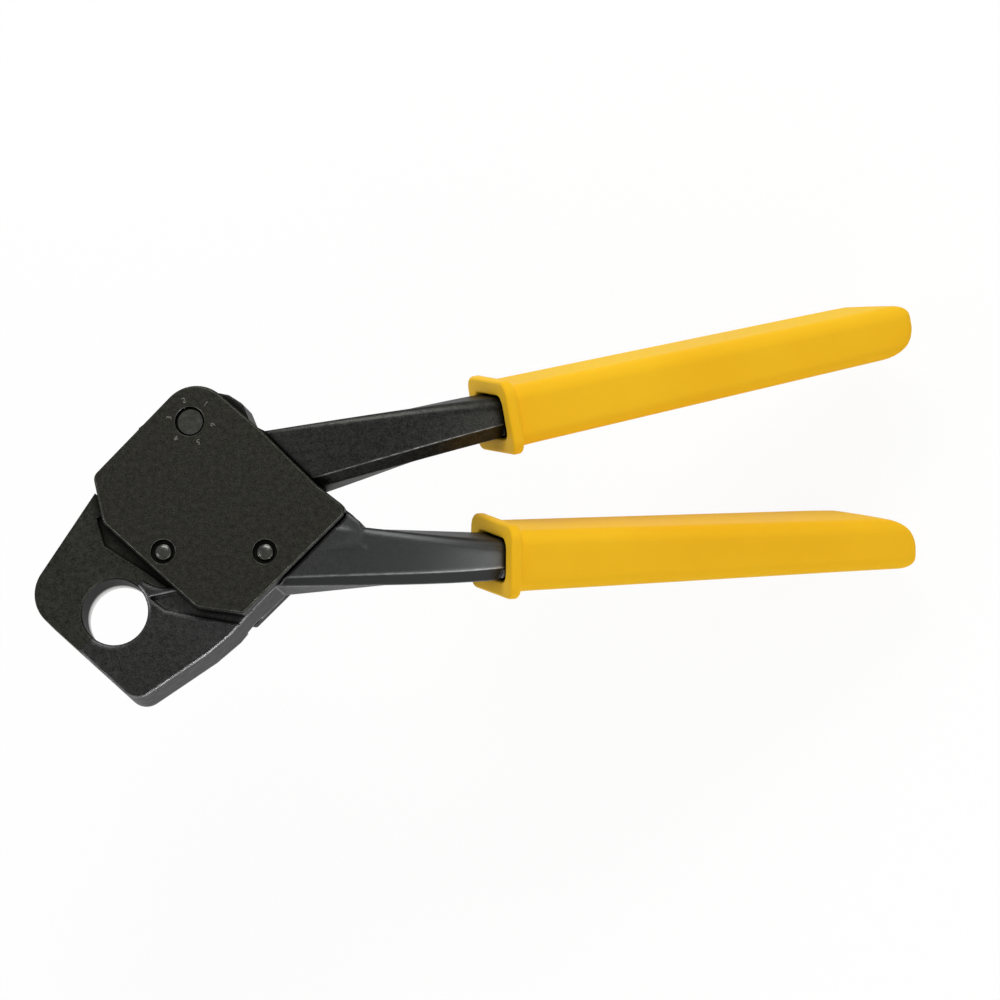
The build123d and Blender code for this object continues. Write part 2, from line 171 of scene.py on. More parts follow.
# %% Table
table_half = 1.5
table_drop = 0.2 * mm
low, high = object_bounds()
square = [(-1, -1), (1, -1), (1, 1), (-1, 1)]
corners = [(x * table_half, y * table_half, low.z - table_drop) for x, y in square]
table_mesh = bpy.data.meshes.new("table")
table_mesh.from_pydata(corners, [], [(0, 1, 2, 3)])
table = bpy.data.objects.new("table", table_mesh)
bpy.context.scene.collection.objects.link(table)
table_paint = bpy.data.materials.new("white table")
table_paint.use_nodes = True
table_tree = table_paint.node_tree
board = table_tree.nodes["Principled BSDF"]
board.inputs["Base Color"].default_value = (0.9, 0.9, 0.9, 1)
board.inputs["Roughness"].default_value = 0.9
board.inputs["Specular IOR Level"].default_value = 0.1
table_seen = see_white(table_tree, board.outputs[0], table_white)
table_tree.links.new(table_seen, table_tree.nodes["Material Output"].inputs["Surface"])
table_mesh.materials.append(table_paint)
print("table at", round(low.z / mm, 1), "mm")

# %% [markdown]
# Four soft lamps. The key lamp stands behind the tool's upper side and the low lamp to the right, and
# they light the yellow grips. The two small ones hardly light anything. They are there to be mirrored in
# the ridges and the rounded pin ends, as thin bright lines and dots.

# %% Lamps
middle = (95, 35, -20)
head = (40, 15, 5)
lamps = {
    "key lamp": ((60, 560, 420), middle, 360, 3.0),
    "low lamp": ((560, -230, 350), middle, 360, 0.9),
    "edge lamp": ((330, -420, 170), head, 100, 0.5),
    "spark lamp": ((-330, -40, 250), (30, 20, 5), 60, 0.35),
}


def lamp(name, place, aim, size, power):
    """A square soft lamp that stands at a place in millimetres and faces another."""
    light = bpy.data.lights.new(name, "AREA")
    light.size = size * mm
    light.energy = power
    holder = bpy.data.objects.new(name, light)
    bpy.context.scene.collection.objects.link(holder)
    start, end = Vector(place) * mm, Vector(aim) * mm
    facing = (end - start).to_track_quat("-Z", "Y").to_matrix().to_4x4()
    holder.matrix_world = Matrix.Translation(start) @ facing


for name, (place, aim, size, power) in lamps.items():
    lamp(name, place, aim, size, power)
print("lamps:", {name: numbers[-1] for name, numbers in lamps.items()})

# %% [markdown]
# Shader groups. A group is a small machine with named sockets: it is built once, and each finish sets its
# own numbers on it. Five of them follow, for the unevenness of real surfaces. First come the helpers that
# place nodes, so that each group reads as a list of what it does.

# %% Group helpers


def new_group(name, inputs, outputs):
    """An empty shader node group with float sockets, the inputs as (name, default)."""
    group = bpy.data.node_groups.new(name, "ShaderNodeTree")
    for label, start in inputs:
        socket = group.interface.new_socket(label, in_out="INPUT", socket_type="NodeSocketFloat")
        socket.default_value = start
    for label, kind in outputs:
        group.interface.new_socket(label, in_out="OUTPUT", socket_type="NodeSocket" + kind)
    return group, group.nodes.new("NodeGroupInput"), group.nodes.new("NodeGroupOutput")


def add(tree, kind, settings=None, **links):
    """A node with some settings, and with sockets named by their labels, or by i and their number,
    given a value or a link."""
    node = tree.nodes.new(kind)
    for key, value in (settings or {}).items():
        setattr(node, key, value)
    for key, value in links.items():
        by_number = key[0] == "i" and key[1:].isdigit()
        socket = node.inputs[int(key[1:]) if by_number else key.replace("_", " ")]
        if isinstance(value, bpy.types.NodeSocket):
            tree.links.new(value, socket)
        else:
            socket.default_value = value
    return node


print("helpers ready:", new_group.__name__, add.__name__)

# %% Value helpers


def maths(tree, operation, first, second=0.0):
    """The result of one calculation on two numbers or links."""
    return add(tree, "ShaderNodeMath", {"operation": operation}, i0=first, i1=second).outputs[0]


def remap(tree, value, low_in, high_in, low_out, high_out):
    """A value carried from one range to another, held at both ends."""
    node = add(tree, "ShaderNodeMapRange", Value=value)
    node.inputs["From Min"].default_value = low_in
    node.inputs["From Max"].default_value = high_in
    node.inputs["To Min"].default_value = low_out
    node.inputs["To Max"].default_value = high_out
    return node.outputs["Result"]


def noise(tree, place, cells, detail):
    """Soft noise over a place, with so many cells in a metre."""
    return add(tree, "ShaderNodeTexNoise", Vector=place, Scale=cells, Detail=detail).outputs["Fac"]


def own_place(tree, kind="Object"):
    """The point, or the normal, in the piece's own coordinates."""
    return add(tree, "ShaderNodeTexCoord").outputs[kind]


print("values are carried by", remap.__name__, "and", noise.__name__)

# %% [markdown]
# Blasted and ground steel has a grain. A fine and a coarse noise are summed for it: fine cells are a few
# tenths of a millimetre wide, and coarse ones a few millimetres. The two also come out alone, for colour.

# %% Grain of steel
coarse_share = 0.6
grain, grain_in, grain_out = new_group(
    "steel grain",
    [("Fine Cells per m", 9000.0), ("Coarse Cells per m", 350.0)],
    [("Height", "Float"), ("Fine", "Float"), ("Mottle", "Float")],
)
fine = noise(grain, own_place(grain), grain_in.outputs["Fine Cells per m"], 3.0)
coarse = noise(grain, own_place(grain), grain_in.outputs["Coarse Cells per m"], 4.0)
summed = maths(grain, "ADD", fine, maths(grain, "MULTIPLY", coarse, coarse_share))
for label, value in (("Height", summed), ("Fine", fine), ("Mottle", coarse)):
    grain.links.new(value, grain_out.inputs[label])
print(grain.name, "has", len(grain.nodes), "nodes")

# %% [markdown]
# Edges get a painted highlight. A bevel node gives the normal that a slightly rounded edge would
# have: where it leans away from the face's own normal there is an edge, and a noise breaks the line up.
# Edges whose normals point to -Y, the lit side, get the whole painted highlight, and the others a small
# share.

# %% Painted edge highlights
whole_lean, full_lean = 0.995, 0.93
upper_edge_share = 0.12
edges, edges_in, edges_out = new_group(
    "highlit edges",
    [("Width mm", 0.3), ("Patchiness", 0.5), ("Soften mm", 0.3)],
    [("Edge", "Float"), ("Normal", "Vector")],
)


def rounded_normal(width):
    """The normal over an edge rounded by a width in millimetres."""
    radius = maths(edges, "MULTIPLY", edges_in.outputs[width], mm)
    return add(edges, "ShaderNodeBevel", {"samples": 6}, Radius=radius).outputs[0]


rounded = rounded_normal("Width mm")
flat = add(edges, "ShaderNodeNewGeometry").outputs["Normal"]
lean = add(edges, "ShaderNodeVectorMath", {"operation": "DOT_PRODUCT"}, i0=rounded, i1=flat)
edge = remap(edges, lean.outputs["Value"], whole_lean, full_lean, 0.0, 1.0)
edges.links.new(rounded_normal("Soften mm"), edges_out.inputs["Normal"])
print(edges.name, "finds edges from a lean of", whole_lean)

# %% Where the edge highlight is painted
patches = remap(edges, noise(edges, own_place(edges), 420.0, 3.0), 0.4, 0.62, 0.0, 1.0)
patchiness = edges_in.outputs["Patchiness"]
patched = add(edges, "ShaderNodeMix", {"data_type": "FLOAT"}, Factor=patchiness, i2=1.0, i3=patches)
to_own = {"vector_type": "NORMAL", "convert_from": "WORLD", "convert_to": "OBJECT"}
own_normal = add(edges, "ShaderNodeVectorTransform", to_own, Vector=rounded).outputs[0]
own_parts = add(edges, "ShaderNodeSeparateXYZ", i0=own_normal)
lit_side = remap(edges, own_parts.outputs["Y"], -0.35, 0.1, 1.0, upper_edge_share)
# The Edge output masks where the painted highlight goes.
masked = maths(edges, "MULTIPLY", maths(edges, "MULTIPLY", edge, lit_side), patched.outputs[0])
edges.links.new(masked, edges_out.inputs["Edge"])
print("an upper edge keeps", upper_edge_share, "of the painted_highlight")

# %% [markdown]
# Shut-in corners get a painted shade: darker where a face is shut in by its neighbours. The occlusion node
# measures that: the share of directions that reach a few millimetres out freely.

# %% Painted shade in corners
shut_in, quite_free = 0.55, 0.95
shading, shading_in, shading_out = new_group("corner shading", [("Reach mm", 3.5)], [("Painted Shade", "Float")])
reach = maths(shading, "MULTIPLY", shading_in.outputs["Reach mm"], mm)
free = add(shading, "ShaderNodeAmbientOcclusion", {"samples": 8}, Distance=reach).outputs["AO"]
shading.links.new(remap(shading, free, shut_in, quite_free, 1.0, 0.0), shading_out.inputs["Painted Shade"])
print(shading.name, "lies where less than", shut_in, "is free")

# %% [markdown]
# The flanks of the jaws and plates are ground after blackening, so they are lighter than the faces, with
# fine lines round the outline. The die's wall is polished bare by the rings that it has crimped. Each is
# a mask here: the way a face points tells a flank, and the distance from the die's axis tells its wall.

# %% Ground flanks
flanks, flanks_in, flanks_out = new_group(
    "ground flanks",
    [("Die Radius mm", 9.2)],
    [("Flank", "Float"), ("Under Bevel", "Float"), ("Lines", "Float"), ("Die", "Float"), ("Deep", "Float")],
)
facing = add(flanks, "ShaderNodeSeparateXYZ", i0=own_place(flanks, "Normal"))
turned_down = remap(flanks, facing.outputs["Y"], -0.6, -0.45, 1.0, 0.0)
still_front = remap(flanks, facing.outputs["Z"], 0.15, 0.3, 0.0, 1.0)
upright = remap(flanks, maths(flanks, "ABSOLUTE", facing.outputs["Z"]), 0.15, 0.35, 1.0, 0.0)
flanks.links.new(upright, flanks_out.inputs["Flank"])
# Under Bevel marks the bevel under a ridge, facing down and forward, which gets a painted shade.
under_bevel = maths(flanks, "MULTIPLY", turned_down, still_front)
flanks.links.new(under_bevel, flanks_out.inputs["Under Bevel"])
print(flanks.name, "are told by their normals")

# %% Ground lines and the die
line_stretch = (0.25, 0.25, 3.0)
deep_from, deep_to = -2.0 * mm, -4.6 * mm


def stretched(tree, factors):
    """The piece's own place, multiplied part by part."""
    node = add(tree, "ShaderNodeVectorMath", {"operation": "MULTIPLY"}, i0=own_place(tree), i1=factors)
    return node.outputs[0]


lines = remap(flanks, noise(flanks, stretched(flanks, line_stretch), 1500.0, 4.0), 0.35, 0.65, 0.0, 1.0)
flanks.links.new(lines, flanks_out.inputs["Lines"])
level_place = stretched(flanks, (1, 1, 0))
from_axis = add(flanks, "ShaderNodeVectorMath", {"operation": "LENGTH"}, i0=level_place).outputs["Value"]
die_radius = maths(flanks, "MULTIPLY", flanks_in.outputs["Die Radius mm"], mm)
flanks.links.new(maths(flanks, "LESS_THAN", from_axis, die_radius), flanks_out.inputs["Die"])
height = add(flanks, "ShaderNodeSeparateXYZ", i0=own_place(flanks)).outputs["Z"]
flanks.links.new(remap(flanks, height, deep_to, deep_from, 1.0, 0.0), flanks_out.inputs["Deep"])
print("the die's wall is bare below", round(deep_from / mm, 1), "mm")

# %% [markdown]
# Moulded vinyl has a soft orange peel, and its colour drifts a little along a grip.

# %% Moulded skin
skin, skin_in, skin_out = new_group(
    "moulded skin",
    [("Peel Cells per m", 1400.0), ("Cloud Cells per m", 28.0)],
    [("Height", "Float"), ("Clouds", "Float")],
)
peel = noise(skin, own_place(skin), skin_in.outputs["Peel Cells per m"], 2.0)
clouds = noise(skin, own_place(skin), skin_in.outputs["Cloud Cells per m"], 3.0)
skin.links.new(peel, skin_out.inputs["Height"])
skin.links.new(remap(skin, clouds, 0.3, 0.7, 0.0, 1.0), skin_out.inputs["Clouds"])
print("shader groups:", [group.name for group in bpy.data.node_groups])

# %% [markdown]
# Black oxide is a thin conversion layer, almost black, over ground or forged steel, and wiped with oil. It
# hardly has a colour. Seen straight on it is near black, and seen along the surface it turns light grey,
# as every smooth surface does. So each steel finish is a dark metal with its own grain and roughness, and
# one function makes them all. Its parts come first: two ways to mix, and the masks laid over each other.

# %% Mixing


def tint(tree, mask, below, above):
    """Two colours, or links, mixed by a mask."""
    mix = add(tree, "ShaderNodeMix", {"data_type": "RGBA"}, Factor=mask)
    for label, colour in (("A", below), ("B", above)):
        if isinstance(colour, bpy.types.NodeSocket):
            tree.links.new(colour, mix.inputs[label])
        else:
            mix.inputs[label].default_value = (*colour, 1)
    return mix.outputs["Result"]


def blend(tree, mask, below, above):
    """Two numbers, or links, mixed by a mask."""
    return add(tree, "ShaderNodeMix", {"data_type": "FLOAT"}, Factor=mask, i2=below, i3=above).outputs[0]


def group_of(tree, group, **settings):
    """A node of a group with its named sockets set."""
    return add(tree, "ShaderNodeGroup", {"node_tree": group}, **settings)


def scaled(colour, share):
    return [part * share for part in colour]


print("mixes:", tint.__name__, "for colours,", blend.__name__, "for numbers")

# %% Face, flank and die
dark_grain, light_grain = 0.45, 1.6
roughness_spread = 0.06
die_front, die_deep = (0.04, 0.04, 0.04), (0.97, 0.97, 0.96)
die_front_roughness, die_deep_roughness = 0.5, 0.2


def face_shade(tree, surface, colour):
    """The blackened face: coarse clouds with the fine grain's speckle on them."""
    cloudy = remap(tree, surface.outputs["Mottle"], 0.3, 0.7, 0.3, 0.7)
    speckle = remap(tree, surface.outputs["Fine"], 0.35, 0.65, -0.3, 0.3)
    mottle = maths(tree, "ADD", cloudy, speckle)
    return tint(tree, mottle, scaled(colour, dark_grain), scaled(colour, light_grain))


def flank_shade(tree, sides, shade, flank):
    """Ground flanks over the face's shade, darker between the grinding lines."""
    ground = tint(tree, sides.outputs["Lines"], scaled(flank, dark_grain), flank)
    return tint(tree, sides.outputs["Flank"], shade, ground)


def die_wall(tree, sides, shade, rough):
    """The die's wall: black at the front, where no ring reaches, and bare and smooth further in."""
    wall = maths(tree, "MULTIPLY", sides.outputs["Flank"], sides.outputs["Die"])
    deep = sides.outputs["Deep"]
    shade = tint(tree, wall, shade, tint(tree, deep, die_front, die_deep))
    wall_rough = blend(tree, deep, die_front_roughness, die_deep_roughness)
    return shade, blend(tree, wall, rough, wall_rough)


print("grain runs from", dark_grain, "to", light_grain, "of a colour")

# %% Painted sheen and bevel shade
bevel_share = 0.55
fade_mm = 1.0


def hand_worn(tree, sides, shade, first, last, colour):
    """A painted sheen: a lighter colour comes in along X between two places in mm. The narrow
    bevel under the ridge gets a painted shade, a share of that colour."""
    along = add(tree, "ShaderNodeSeparateXYZ", i0=own_place(tree)).outputs["X"]
    shade = tint(tree, remap(tree, along, first * mm, last * mm, 0.0, 1.0), shade, colour)
    return tint(tree, sides.outputs["Under Bevel"], shade, scaled(colour, bevel_share))


def away_from(tree, centre, radius):
    """A mask that is 0 within a radius of a place, both in mm, and 1 outside it."""
    gap = add(tree, "ShaderNodeVectorMath", {"operation": "DISTANCE"}, i0=own_place(tree))
    gap.inputs[1].default_value = scaled(centre, mm)
    return remap(tree, gap.outputs["Value"], radius * mm, (radius + fade_mm) * mm, 0.0, 1.0)


print("a bevel keeps", bevel_share, "of the handled shade")

# %% Black steel
corner_shade_share = 0.2
oil_tint = 0.55


def oxide_steel(
    name, colour, bare, roughness, fine_cells, bump_mm, edge_mm, soften_mm,
    patchiness=0.7, shade_reach_mm=3.5, flank=None, die=False, painted_sheen=None, no_paint_spot=None,
):
    """Black steel: faint mottle, grain in the roughness and the relief, a painted highlight on edges and a
    painted shade in corners. Flank is the ground sides' colour, and bare is the painted edge highlight's
    colour.
    Painted_sheen is (first mm, last mm, colour) of a painted sheen along X, and no_paint_spot is (centre in
    mm, radius in mm) of a spot that gets neither the painted edge highlight nor the painted corner shade."""
    material = bpy.data.materials.new(name)
    material.use_nodes = True
    tree = material.node_tree
    shader = tree.nodes["Principled BSDF"]
    surface = group_of(tree, grain, Fine_Cells_per_m=fine_cells, Coarse_Cells_per_m=700.0)
    highlit = group_of(tree, edges, Width_mm=edge_mm, Patchiness=patchiness, Soften_mm=soften_mm)
    edge_highlight = highlit.outputs["Edge"]
    shade_mask = group_of(tree, shading, Reach_mm=shade_reach_mm).outputs["Painted Shade"]
    relief = surface.outputs["Height"]
    shade = face_shade(tree, surface, colour)
    rough = remap(tree, relief, 0.5, 1.1, roughness - roughness_spread, roughness + roughness_spread)
    if flank:
        sides = group_of(tree, flanks)
        shade = flank_shade(tree, sides, shade, flank)
        if die:
            shade, rough = die_wall(tree, sides, shade, rough)
        if painted_sheen:
            shade = hand_worn(tree, sides, shade, *painted_sheen)
    # Within this spot neither the painted edge highlight nor the painted corner shade is laid, so the
    # shoulder's step stays quiet.
    if no_paint_spot:
        outside_spot = away_from(tree, *no_paint_spot)
        edge_highlight, shade_mask = (maths(tree, "MULTIPLY", mask, outside_spot) for mask in (edge_highlight, shade_mask))
    # Painted highlight: the edge mask lightens edges towards the colour given as bare.
    shade = tint(tree, edge_highlight, shade, bare)
    # Painted shade: shut-in corners darken towards a share of the colour.
    shade = tint(tree, shade_mask, shade, scaled(colour, corner_shade_share))
    bump = add(tree, "ShaderNodeBump", Strength=1.0, Distance=bump_mm * mm, Height=relief)
    tree.links.new(highlit.outputs["Normal"], bump.inputs["Normal"])
    for label, value in (("Base Color", shade), ("Roughness", rough), ("Normal", bump.outputs[0])):
        tree.links.new(value, shader.inputs[label])
    shader.inputs["Metallic"].default_value = 1.0
    shader.inputs["Specular Tint"].default_value = (oil_tint, oil_tint, oil_tint, 1)
    return material


print("one function makes every steel:", oxide_steel.__name__)

# %% [markdown]
# The plates and the jaw are flat ground and then blackened: a fine grain with a brownish black. The two
# levers are forgings, rougher, with a wide soft ridge. The lower lever gets a painted sheen that lightens
# it towards its grip, and a painted shade on the bevel under its ridge. Near the plates' corner a spot
# gets neither the painted edge highlight nor the painted corner shade.

# %% Plates, jaw and levers
ground_grey = (0.16, 0.16, 0.16)
plate_steel = oxide_steel(
    "ground black plate", (0.037, 0.0365, 0.030), (0.34, 0.34, 0.33), roughness=0.46, fine_cells=2600.0,
    bump_mm=0.012, edge_mm=0.35, soften_mm=0.35, flank=(0.12, 0.12, 0.12),
)
jaw_steel = oxide_steel(
    "ground black jaw", (0.038, 0.0385, 0.032), (0.14, 0.14, 0.14), roughness=0.44, fine_cells=2500.0,
    bump_mm=0.014, edge_mm=0.4, soften_mm=0.4, flank=ground_grey, die=True,
)
forged_steel = oxide_steel(
    "forged black handle", (0.038, 0.0385, 0.035), (0.45, 0.45, 0.46), roughness=0.42, fine_cells=2400.0,
    bump_mm=0.016, edge_mm=0.5, soften_mm=0.9,
)
lever_steel = oxide_steel(
    "forged black lever", (0.043, 0.0435, 0.042), (0.55, 0.55, 0.56), roughness=0.42, fine_cells=2400.0,
    bump_mm=0.016, edge_mm=1.0, soften_mm=1.8, patchiness=0.35, shade_reach_mm=1.5, flank=ground_grey, die=True,
    painted_sheen=(14.0, 86.0, (0.081, 0.083, 0.083)), no_paint_spot=((62.0, 20.0, 6.5), 10.4),
)
print("large steel:", plate_steel.name, jaw_steel.name, forged_steel.name, lever_steel.name, sep=", ")

# %% [markdown]
# Pins, washer and nut are turned from bar: smoother, a little lighter, and with narrow edges.

# %% Pins and nut
small_shade_reach = 0.8
turned = {"bump_mm": 0.01, "edge_mm": 0.25, "soften_mm": 0.25, "shade_reach_mm": small_shade_reach}
pin_steel = oxide_steel(
    "turned pin end", (0.088, 0.088, 0.080), (0.3, 0.3, 0.3), roughness=0.27, fine_cells=6500.0, **turned
)
nut_steel = oxide_steel(
    "black nut", (0.05, 0.05, 0.052), (0.3, 0.3, 0.31), roughness=0.36, fine_cells=5200.0, **turned
)
finishes = {
    lever_steel: ["lower_lever"],
    forged_steel: ["upper_handle"],
    jaw_steel: ["moving_jaw"],
    plate_steel: ["front_plate", "back_plate"],
    pin_steel: ["jaw_pin", "lever_rivet", "locating_dowel", "adjuster_pin"],
    nut_steel: ["adjuster_washer", "adjuster_nut"],
}
for finish, names in finishes.items():
    for name in names:
        nodes[name].data.materials.clear()
        nodes[name].data.materials.append(finish)
print("steel finishes on", sum(len(names) for names in finishes.values()), "solids")

# %% [markdown]
# The grips are thick soft vinyl, dipped or moulded over the arms' ends: a warm yellow through and
# through, with a satin skin. Vinyl scatters light a little below its skin, and a yellow sheen keeps the
# faces that are seen along their surface as warm as the rest.

# %% Yellow vinyl
peel_mm = 0.012
vinyl = bpy.data.materials.new("yellow vinyl")
vinyl.use_nodes = True
vinyl_tree = vinyl.node_tree
vinyl_shader = vinyl_tree.nodes["Principled BSDF"]
vinyl_skin = group_of(vinyl_tree, skin)
vinyl_clouds = vinyl_skin.outputs["Clouds"]
vinyl_shade = tint(vinyl_tree, vinyl_clouds, (0.82, 0.445, 0.014), (0.86, 0.495, 0.018))
vinyl_tree.links.new(vinyl_shade, vinyl_shader.inputs["Base Color"])
vinyl_rough = remap(vinyl_tree, vinyl_clouds, 0.0, 1.0, 0.38, 0.5)
vinyl_tree.links.new(vinyl_rough, vinyl_shader.inputs["Roughness"])
vinyl_bump = add(vinyl_tree, "ShaderNodeBump", Strength=1.0, Distance=peel_mm * mm)
vinyl_tree.links.new(vinyl_skin.outputs["Height"], vinyl_bump.inputs["Height"])
vinyl_tree.links.new(vinyl_bump.outputs[0], vinyl_shader.inputs["Normal"])
vinyl_shader.inputs["IOR"].default_value = 1.08
vinyl_shader.inputs["Sheen Weight"].default_value = 0.5
vinyl_shader.inputs["Sheen Roughness"].default_value = 0.35
vinyl_shader.inputs["Sheen Tint"].default_value = (1.0, 0.78, 0.1, 1)
vinyl_shader.inputs["Subsurface Weight"].default_value = 0.12
vinyl_shader.inputs["Subsurface Radius"].default_value = (2.0 * mm, 0.9 * mm, 0.2 * mm)
print("vinyl finish:", vinyl.name)

# %% [markdown]
# Each grip is a sleeve, closed at its far end. Its skin can be written as one sheet: rings round the
# sleeve's axis, each a rounded rectangle, that run up the inside pocket, out over the lip of the flange,
# along the body and in again over the end. The body's far end is cut slantwise towards the back, with a
# wide round corner on the side where the fingers are and a tight one on the other.

# %% Grip sizes
arm_roll = radians(22.0)
grip_length = 117.5
grip_root, grip_tip = (16.6, 27.0), (13.4, 25.6)
body_corner, tip_corner = 3.8, 3.6
flange_size, flange_corner, flange_thickness = (20.0, 31.0), 4.0, 3.0
flange_round, neck_round = 0.9, 1.3
mouth_size, mouth_corner, mouth_depth = (11.9, 21.3), 3.0, 7.0
lip_round, throat_round, throat_corner = 0.6, 0.8, 2.0
pocket_size, pocket_end_size, pocket_depth, pocket_corner = (9.9, 18.9), (7.7, 17.3), 91.0, 1.6
end_length, end_slant, inner_round, outer_round, end_edge = 22.0, 9.5, 8.5, 2.8, 2.2
print("grip", grip_length, "mm long, flange", flange_size)

# %% Rounded rectangles
points_per_side, points_per_corner = 14, 9


def ring(height, depth, corner):
    """Rounded rectangles, one for each entry of the arrays: straight sides and quarter-circle corners.
    A corner's point is the corner's centre plus the radius times (cosine, sine) of an angle that runs
    through a quarter turn; a side's points divide the line between two corners evenly."""
    corner = corner[:, None]
    half_u, half_v = height[:, None] / 2 - corner, depth[:, None] / 2 - corner
    us, vs = [], []
    quarter = np.linspace(0, pi / 2, points_per_corner)
    side = np.linspace(0, 1, points_per_side + 2)[1:-1]
    signs = [(1, 1), (-1, 1), (-1, -1), (1, -1)]
    for index, (su, sv) in enumerate(signs):
        angle = quarter + index * pi / 2
        us.append(su * half_u + corner * np.cos(angle))
        vs.append(sv * half_v + corner * np.sin(angle))
        next_u, next_v = signs[(index + 1) % 4]
        end_angle = (index + 1) * pi / 2
        us.append(su * half_u + corner * cos(end_angle) + (next_u - su) * half_u * side)
        vs.append(sv * half_v + corner * sin(end_angle) + (next_v - sv) * half_v * side)
    return np.concatenate(us, axis=1), np.concatenate(vs, axis=1)


print("points in a ring:", 4 * (points_per_side + points_per_corner))

# %% Ring helpers


def quarter_turn(count):
    """A rounding's profile: sine and one minus cosine of angles through a quarter turn."""
    angle = np.linspace(0, pi / 2, count)
    return zip(np.sin(angle), 1 - np.cos(angle))


def between(start, end, share):
    return [a + (b - a) * share for a, b in zip(start, end)]


def grown(size, by):
    return [part + 2 * by for part in size]


print("half-way size of the pocket:", between(pocket_size, pocket_end_size, 0.5))

# %% [markdown]
# The rings are listed as (place along the axis, height, depth, corner radius). The pocket comes first,
# from its blind end out to the lip, then the flange, and then the body up to where its end begins.

# %% Rings of the pocket


def pocket_rings():
    """A straight taper, a rounded step out to the wider mouth, and a rolled lip."""
    rings = []
    for share in np.linspace(1, 0, 12):
        w = mouth_depth + (pocket_depth - mouth_depth) * share
        rings.append((w, *between(pocket_size, pocket_end_size, share), pocket_corner))
    rings.append((mouth_depth, *between(pocket_size, mouth_size, 0.5), throat_corner))
    for out, up in quarter_turn(5):
        trim = throat_round * (1 - out)
        rings.append((mouth_depth - throat_round * up, *grown(mouth_size, -trim), mouth_corner - trim / 2))
    rings.append((mouth_depth / 2, *mouth_size, mouth_corner))
    for out, up in quarter_turn(6):
        grow = lip_round * up
        rings.append((lip_round * (1 - out), *grown(mouth_size, grow), mouth_corner + grow))
    return rings


print("pocket:", len(pocket_rings()), "rings")

# %% Rings of the flange and the body


def flange_rings():
    """A flat front, and an outer edge rounded by a quarter circle at the front and at the back."""
    inner, outer = grown(mouth_size, lip_round), grown(flange_size, -flange_round)
    rings = [(0.0, *between(inner, outer, 0.5), mouth_corner + lip_round)]
    for out, up in quarter_turn(7):
        trim = flange_round * (1 - out)
        rings.append((flange_round * up, *grown(flange_size, -trim), flange_corner - trim))
    rings.append((flange_thickness / 2, *flange_size, flange_corner))
    for out, up in quarter_turn(7):
        trim = flange_round * up
        w = flange_thickness - flange_round * (1 - out)
        rings.append((w, *grown(flange_size, -trim), flange_corner - trim))
    return rings


def body_rings():
    """A hollow quarter circle down from the flange, then an even taper."""
    rings = []
    for out, up in quarter_turn(7):
        grow = neck_round * (1 - out)
        w = flange_thickness + neck_round * up
        rings.append((w, *grown(grip_root, grow), body_corner + 0.6 * grow))
    start = flange_thickness + neck_round
    for share in np.linspace(0, 1, 40)[1:]:
        w = start + (grip_length - end_length - start) * share
        along = w / grip_length
        corner = body_corner + (tip_corner - body_corner) * along
        rings.append((w, *between(grip_root, grip_tip, along), corner))
    return rings


print("flange:", len(flange_rings()), "rings, body:", len(body_rings()), "rings")

# %% [markdown]
# The end isn't at one height: it is a surface over the ring's inside. So the wall runs up to a height
# that differs from point to point, a round edge leads over, and shrinking copies of the last ring close it.

# %% Grip end
slant_power = 1.35
wall_narrowing = 0.02
edge_corner_share = 0.8


def end_height(u, v, inner_side, half_height, half_depth):
    """How far along the axis the grip reaches at (u, v): less towards the back, by the slant, and less
    within a corner's radius of either side, by a quarter circle's fall."""
    back = np.clip((half_depth - v) / (2 * half_depth), 0, 1)
    far = grip_length - end_slant * back**slant_power
    for side, radius in ((inner_side, inner_round), (-inner_side, outer_round)):
        near = np.clip((radius - (half_height - side * u)) / radius, 0, 1)
        far = far - radius * (1 - np.sqrt(np.clip(1 - near**2, 0, 1)))
    return far


def grip_end(start, height, depth, corner, inner_side):
    """Rings from the last straight one, at start, over the end: the wall narrows by a small share, the
    edge is a quarter circle of inset and rise, and the cap's rings are shares of the last one."""
    halves = (height / 2, depth / 2)
    tip_u, tip_v = ring(height, depth, corner)
    wall_end = end_height(tip_u, tip_v, inner_side, *halves) - end_edge
    rings = []
    for share in np.linspace(0, 1, 9)[1:]:
        narrow = 1 - wall_narrowing * share
        rings.append((tip_u * narrow, tip_v * narrow, start + (wall_end - start) * share))
    size = (height * narrow, depth * narrow, corner * narrow)
    for angle in np.linspace(0, pi / 2, 8)[1:]:
        inset, drop = end_edge * (1 - cos(angle)), end_edge * (1 - sin(angle))
        u, v = ring(size[0] - 2 * inset, size[1] - 2 * inset, size[2] - inset * edge_corner_share)
        rings.append((u, v, end_height(u, v, inner_side, *halves) - drop))
    for share in np.linspace(1, 0.04, 14)[1:]:
        rings.append((u * share, v * share, end_height(u * share, v * share, inner_side, *halves)))
    return rings


print("end slants back", end_slant, "mm and is rounded by", inner_round, "and", outer_round)

# %% Whole grip surface


def grip_surface(inner_side):
    """Rings as arrays of (u, v, w): u towards the top, v towards the front, w along the axis."""
    table = np.array(pocket_rings() + flange_rings() + body_rings())
    w, height, depth, corner = table.T
    u, v = ring(height, depth, corner)
    w = np.repeat(w[:, None], u.shape[1], axis=1)
    end = grip_end(w[-1:], height[-1:], depth[-1:], corner[-1:], inner_side)
    return [np.concatenate([part, *ends]) for part, ends in zip((u, v, w), zip(*end))]


print("grip surface:", grip_surface(1)[0].shape, "rings and points")

# %% [markdown]
# A surface of rings becomes a mesh in one way for every round piece: each point joins the next one in its
# ring and the two beside them in the next ring, and a fan of triangles closes an end.

# %% Meshes from rings


